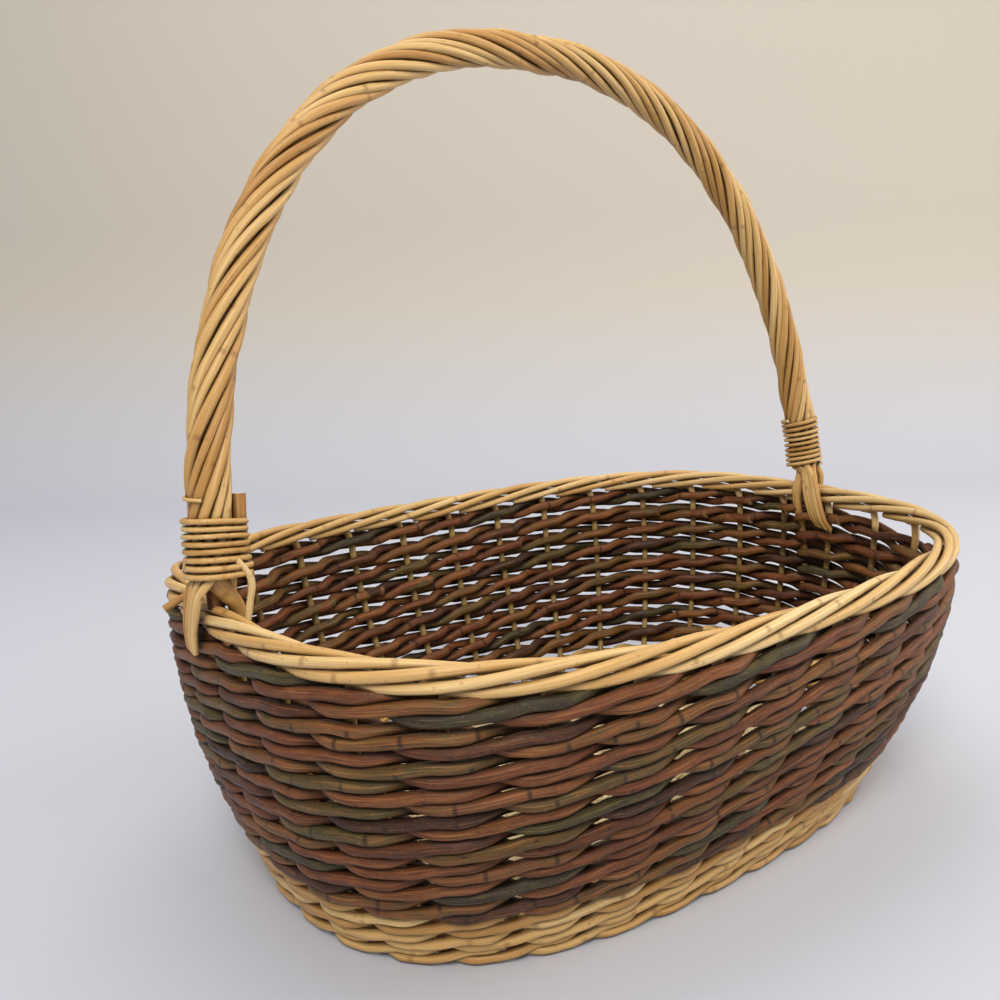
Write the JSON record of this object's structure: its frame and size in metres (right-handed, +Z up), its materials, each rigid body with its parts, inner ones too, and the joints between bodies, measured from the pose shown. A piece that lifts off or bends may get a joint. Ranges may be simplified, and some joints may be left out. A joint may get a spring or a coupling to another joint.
{
  "type": "gathering basket",
  "caption": "Oval willow gathering basket with waled siding, a rod border and a roped arched handle tied at both ends.",
  "frame": {"origin": "on the floor under the middle of the base", "axes": "+X along the basket towards the far foot of the handle, +Y across it towards the far long side, +Z up"},
  "size_m": [0.5118, 0.4078, 0.5063],
  "materials": {
    "buff_willow_wale": "peeled and boiled willow rod, buff, satin",
    "brown_willow_bark": "willow rod in the bark, dark brown, satin",
    "ginger_willow_bark": "willow rod in the bark, reddish brown, satin",
    "olive_willow_bark": "willow rod in the bark, olive green, satin",
    "buff_willow_stakes": "peeled and boiled willow rod, buff, satin",
    "white_willow_base": "pale peeled willow, close woven, dry and matt",
    "buff_willow_handle": "peeled and boiled willow rod, buff, satin"
  },
  "bodies": {
    "root": {"siding_rod_01": "brown_willow_bark", "siding_rod_02": "ginger_willow_bark", "siding_rod_03": "olive_willow_bark", "siding_rod_04": "ginger_willow_bark", "siding_rod_05": "olive_willow_bark", "siding_rod_06": "brown_willow_bark", "siding_rod_07": "olive_willow_bark", "siding_rod_08": "brown_willow_bark", "siding_rod_09": "ginger_willow_bark", "siding_rod_10": "brown_willow_bark", "siding_rod_11": "ginger_willow_bark", "siding_rod_12": "olive_willow_bark", "siding_rod_13": "ginger_willow_bark", "siding_rod_14": "olive_willow_bark", "siding_rod_15": "brown_willow_bark", "wale_rod_1": "buff_willow_wale", "wale_rod_2": "buff_willow_wale", "wale_rod_3": "buff_willow_wale", "stake_01": "buff_willow_stakes", "stake_02": "buff_willow_stakes", "stake_03": "buff_willow_stakes", "stake_04": "buff_willow_stakes", "stake_05": "buff_willow_stakes", "stake_06": "buff_willow_stakes", "stake_07": "buff_willow_stakes", "stake_08": "buff_willow_stakes", "stake_09": "buff_willow_stakes", "stake_10": "buff_willow_stakes", "stake_11": "buff_willow_stakes", "stake_12": "buff_willow_stakes", "stake_13": "buff_willow_stakes", "stake_14": "buff_willow_stakes", "stake_15": "buff_willow_stakes", "stake_16": "buff_willow_stakes", "stake_17": "buff_willow_stakes", "stake_18": "buff_willow_stakes", "stake_19": "buff_willow_stakes", "stake_20": "buff_willow_stakes", "stake_21": "buff_willow_stakes", "stake_22": "buff_willow_stakes", "stake_23": "buff_willow_stakes", "stake_24": "buff_willow_stakes", "stake_25": "buff_willow_stakes", "stake_26": "buff_willow_stakes", "stake_27": "buff_willow_stakes", "stake_28": "buff_willow_stakes", "stake_29": "buff_willow_stakes", "stake_30": "buff_willow_stakes", "stake_31": "buff_willow_stakes", "stake_32": "buff_willow_stakes", "base_weave": "white_willow_base", "base_slath": "buff_willow_stakes", "handle_bow": "buff_willow_handle", "handle_wrap_1": "buff_willow_handle", "handle_wrap_2": "buff_willow_handle", "handle_wrap_3": "buff_willow_handle", "handle_wrap_4": "buff_willow_handle", "near_handle_binding": "buff_willow_handle", "far_handle_binding": "buff_willow_handle"}
  },
  "joints": []
}
